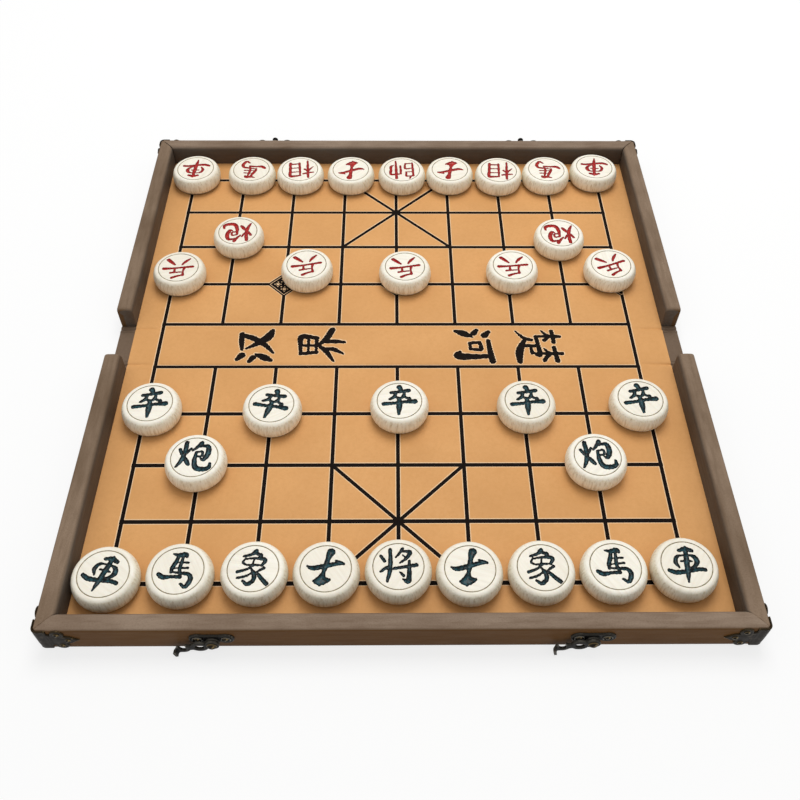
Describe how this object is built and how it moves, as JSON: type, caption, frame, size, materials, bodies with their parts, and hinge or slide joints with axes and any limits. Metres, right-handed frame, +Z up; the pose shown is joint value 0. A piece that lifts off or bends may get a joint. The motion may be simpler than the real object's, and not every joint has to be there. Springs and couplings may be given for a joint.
{
  "type": "folding xiangqi game box",
  "caption": "Folding board-game box for xiangqi: two shallow trays joined by a hinged spine panel, hook latches, corner guards and disc-shaped wooden playing pieces set out on the board.",
  "frame": {"origin": "middle of the spine panel, on the surface that the open box lies on", "axes": "+X along the fold lines towards the right wall, +Y from the near tray with the latches to the far tray, +Z up"},
  "size_m": [0.313, 0.35, 0.0168],
  "materials": {
    "brown_leatherette": "matte embossed leatherette",
    "tan_leatherette": "satin printed leatherette",
    "greyboard": "raw fibreboard",
    "antique_bronze": "antique bronze plate",
    "pale_wood": "satin lacquered wood"
  },
  "bodies": {
    "near_tray": {"near_base_board": "greyboard", "near_front_wall": "brown_leatherette", "near_left_wall": "brown_leatherette", "near_right_wall": "brown_leatherette", "near_cover": "brown_leatherette", "near_playing_surface": "tan_leatherette", "near_left_corner_guard": "antique_bronze", "near_right_corner_guard": "antique_bronze", "near_nails": "antique_bronze", "left_latch_plate": "antique_bronze", "right_latch_plate": "antique_bronze", "latch_rivets": "antique_bronze"},
    "spine_panel": {"spine_board": "greyboard", "spine_cover": "brown_leatherette", "river_surface": "tan_leatherette"},
    "far_tray": {"far_base_board": "greyboard", "far_back_wall": "brown_leatherette", "far_left_wall": "brown_leatherette", "far_right_wall": "brown_leatherette", "far_cover": "brown_leatherette", "far_playing_surface": "tan_leatherette", "far_left_corner_guard": "antique_bronze", "far_right_corner_guard": "antique_bronze", "far_nails": "antique_bronze", "left_catch_plate": "antique_bronze", "right_catch_plate": "antique_bronze"},
    "left_hook": {"left_latch_hook": "antique_bronze"},
    "right_hook": {"right_latch_hook": "antique_bronze"},
    "black_chariot_left_piece": {"black_chariot_left": "pale_wood"},
    "black_horse_left_piece": {"black_horse_left": "pale_wood"},
    "black_elephant_left_piece": {"black_elephant_left": "pale_wood"},
    "black_advisor_left_piece": {"black_advisor_left": "pale_wood"},
    "black_general_piece": {"black_general": "pale_wood"},
    "black_advisor_right_piece": {"black_advisor_right": "pale_wood"},
    "black_elephant_right_piece": {"black_elephant_right": "pale_wood"},
    "black_horse_right_piece": {"black_horse_right": "pale_wood"},
    "black_chariot_right_piece": {"black_chariot_right": "pale_wood"},
    "black_cannon_left_piece": {"black_cannon_left": "pale_wood"},
    "black_cannon_right_piece": {"black_cannon_right": "pale_wood"},
    "black_soldier_1_piece": {"black_soldier_1": "pale_wood"},
    "black_soldier_2_piece": {"black_soldier_2": "pale_wood"},
    "black_soldier_3_piece": {"black_soldier_3": "pale_wood"},
    "black_soldier_4_piece": {"black_soldier_4": "pale_wood"},
    "black_soldier_5_piece": {"black_soldier_5": "pale_wood"},
    "red_chariot_left_piece": {"red_chariot_left": "pale_wood"},
    "red_horse_left_piece": {"red_horse_left": "pale_wood"},
    "red_elephant_left_piece": {"red_elephant_left": "pale_wood"},
    "red_advisor_left_piece": {"red_advisor_left": "pale_wood"},
    "red_general_piece": {"red_general": "pale_wood"},
    "red_advisor_right_piece": {"red_advisor_right": "pale_wood"},
    "red_elephant_right_piece": {"red_elephant_right": "pale_wood"},
    "red_horse_right_piece": {"red_horse_right": "pale_wood"},
    "red_chariot_right_piece": {"red_chariot_right": "pale_wood"},
    "red_cannon_left_piece": {"red_cannon_left": "pale_wood"},
    "red_cannon_right_piece": {"red_cannon_right": "pale_wood"},
    "red_soldier_1_piece": {"red_soldier_1": "pale_wood"},
    "red_soldier_2_piece": {"red_soldier_2": "pale_wood"},
    "red_soldier_3_piece": {"red_soldier_3": "pale_wood"},
    "red_soldier_4_piece": {"red_soldier_4": "pale_wood"},
    "red_soldier_5_piece": {"red_soldier_5": "pale_wood"}
  },
  "joints": [
    {"name": "fold_1_spine", "type": "hinge", "parent": "near_tray", "child": "spine_panel", "pos_m": [0, -0.0131, 0.004], "axis": [-1, 0, 0], "range_deg": [-90, 0]},
    {"name": "fold_2_far_tray", "type": "hinge", "parent": "spine_panel", "child": "far_tray", "pos_m": [0, 0.0131, 0.004], "axis": [-1, 0, 0], "range_deg": [-90, 0]},
    {"name": "latch_left_swing", "type": "hinge", "parent": "near_tray", "child": "left_hook", "pos_m": [-0.081, -0.1728, 0.0072], "axis": [0, -1, 0], "range_deg": [-104.14, 0]},
    {"name": "latch_right_swing", "type": "hinge", "parent": "near_tray", "child": "right_hook", "pos_m": [0.081, -0.1728, 0.0072], "axis": [0, -1, 0], "range_deg": [-104.14, 0]},
    {"name": "lift_black_chariot_left", "type": "slide", "parent": "near_tray", "child": "black_chariot_left_piece", "axis": [0, 0, 1], "range_m": [0, 0.04]},
    {"name": "lift_black_horse_left", "type": "slide", "parent": "near_tray", "child": "black_horse_left_piece", "axis": [0, 0, 1], "range_m": [0, 0.04]},
    {"name": "lift_black_elephant_left", "type": "slide", "parent": "near_tray", "child": "black_elephant_left_piece", "axis": [0, 0, 1], "range_m": [0, 0.04]},
    {"name": "lift_black_advisor_left", "type": "slide", "parent": "near_tray", "child": "black_advisor_left_piece", "axis": [0, 0, 1], "range_m": [0, 0.04]},
    {"name": "lift_black_general", "type": "slide", "parent": "near_tray", "child": "black_general_piece", "axis": [0, 0, 1], "range_m": [0, 0.04]},
    {"name": "lift_black_advisor_right", "type": "slide", "parent": "near_tray", "child": "black_advisor_right_piece", "axis": [0, 0, 1], "range_m": [0, 0.04]},
    {"name": "lift_black_elephant_right", "type": "slide", "parent": "near_tray", "child": "black_elephant_right_piece", "axis": [0, 0, 1], "range_m": [0, 0.04]},
    {"name": "lift_black_horse_right", "type": "slide", "parent": "near_tray", "child": "black_horse_right_piece", "axis": [0, 0, 1], "range_m": [0, 0.04]},
    {"name": "lift_black_chariot_right", "type": "slide", "parent": "near_tray", "child": "black_chariot_right_piece", "axis": [0, 0, 1], "range_m": [0, 0.04]},
    {"name": "lift_black_cannon_left", "type": "slide", "parent": "near_tray", "child": "black_cannon_left_piece", "axis": [0, 0, 1], "range_m": [0, 0.04]},
    {"name": "lift_black_cannon_right", "type": "slide", "parent": "near_tray", "child": "black_cannon_right_piece", "axis": [0, 0, 1], "range_m": [0, 0.04]},
    {"name": "lift_black_soldier_1", "type": "slide", "parent": "near_tray", "child": "black_soldier_1_piece", "axis": [0, 0, 1], "range_m": [0, 0.04]},
    {"name": "lift_black_soldier_2", "type": "slide", "parent": "near_tray", "child": "black_soldier_2_piece", "axis": [0, 0, 1], "range_m": [0, 0.04]},
    {"name": "lift_black_soldier_3", "type": "slide", "parent": "near_tray", "child": "black_soldier_3_piece", "axis": [0, 0, 1], "range_m": [0, 0.04]},
    {"name": "lift_black_soldier_4", "type": "slide", "parent": "near_tray", "child": "black_soldier_4_piece", "axis": [0, 0, 1], "range_m": [0, 0.04]},
    {"name": "lift_black_soldier_5", "type": "slide", "parent": "near_tray", "child": "black_soldier_5_piece", "axis": [0, 0, 1], "range_m": [0, 0.04]},
    {"name": "lift_red_chariot_left", "type": "slide", "parent": "far_tray", "child": "red_chariot_left_piece", "axis": [0, 0, 1], "range_m": [0, 0.04]},
    {"name": "lift_red_horse_left", "type": "slide", "parent": "far_tray", "child": "red_horse_left_piece", "axis": [0, 0, 1], "range_m": [0, 0.04]},
    {"name": "lift_red_elephant_left", "type": "slide", "parent": "far_tray", "child": "red_elephant_left_piece", "axis": [0, 0, 1], "range_m": [0, 0.04]},
    {"name": "lift_red_advisor_left", "type": "slide", "parent": "far_tray", "child": "red_advisor_left_piece", "axis": [0, 0, 1], "range_m": [0, 0.04]},
    {"name": "lift_red_general", "type": "slide", "parent": "far_tray", "child": "red_general_piece", "axis": [0, 0, 1], "range_m": [0, 0.04]},
    {"name": "lift_red_advisor_right", "type": "slide", "parent": "far_tray", "child": "red_advisor_right_piece", "axis": [0, 0, 1], "range_m": [0, 0.04]},
    {"name": "lift_red_elephant_right", "type": "slide", "parent": "far_tray", "child": "red_elephant_right_piece", "axis": [0, 0, 1], "range_m": [0, 0.04]},
    {"name": "lift_red_horse_right", "type": "slide", "parent": "far_tray", "child": "red_horse_right_piece", "axis": [0, 0, 1], "range_m": [0, 0.04]},
    {"name": "lift_red_chariot_right", "type": "slide", "parent": "far_tray", "child": "red_chariot_right_piece", "axis": [0, 0, 1], "range_m": [0, 0.04]},
    {"name": "lift_red_cannon_left", "type": "slide", "parent": "far_tray", "child": "red_cannon_left_piece", "axis": [0, 0, 1], "range_m": [0, 0.04]},
    {"name": "lift_red_cannon_right", "type": "slide", "parent": "far_tray", "child": "red_cannon_right_piece", "axis": [0, 0, 1], "range_m": [0, 0.04]},
    {"name": "lift_red_soldier_1", "type": "slide", "parent": "far_tray", "child": "red_soldier_1_piece", "axis": [0, 0, 1], "range_m": [0, 0.04]},
    {"name": "lift_red_soldier_2", "type": "slide", "parent": "far_tray", "child": "red_soldier_2_piece", "axis": [0, 0, 1], "range_m": [0, 0.04]},
    {"name": "lift_red_soldier_3", "type": "slide", "parent": "far_tray", "child": "red_soldier_3_piece", "axis": [0, 0, 1], "range_m": [0, 0.04]},
    {"name": "lift_red_soldier_4", "type": "slide", "parent": "far_tray", "child": "red_soldier_4_piece", "axis": [0, 0, 1], "range_m": [0, 0.04]},
    {"name": "lift_red_soldier_5", "type": "slide", "parent": "far_tray", "child": "red_soldier_5_piece", "axis": [0, 0, 1], "range_m": [0, 0.04]}
  ]
}
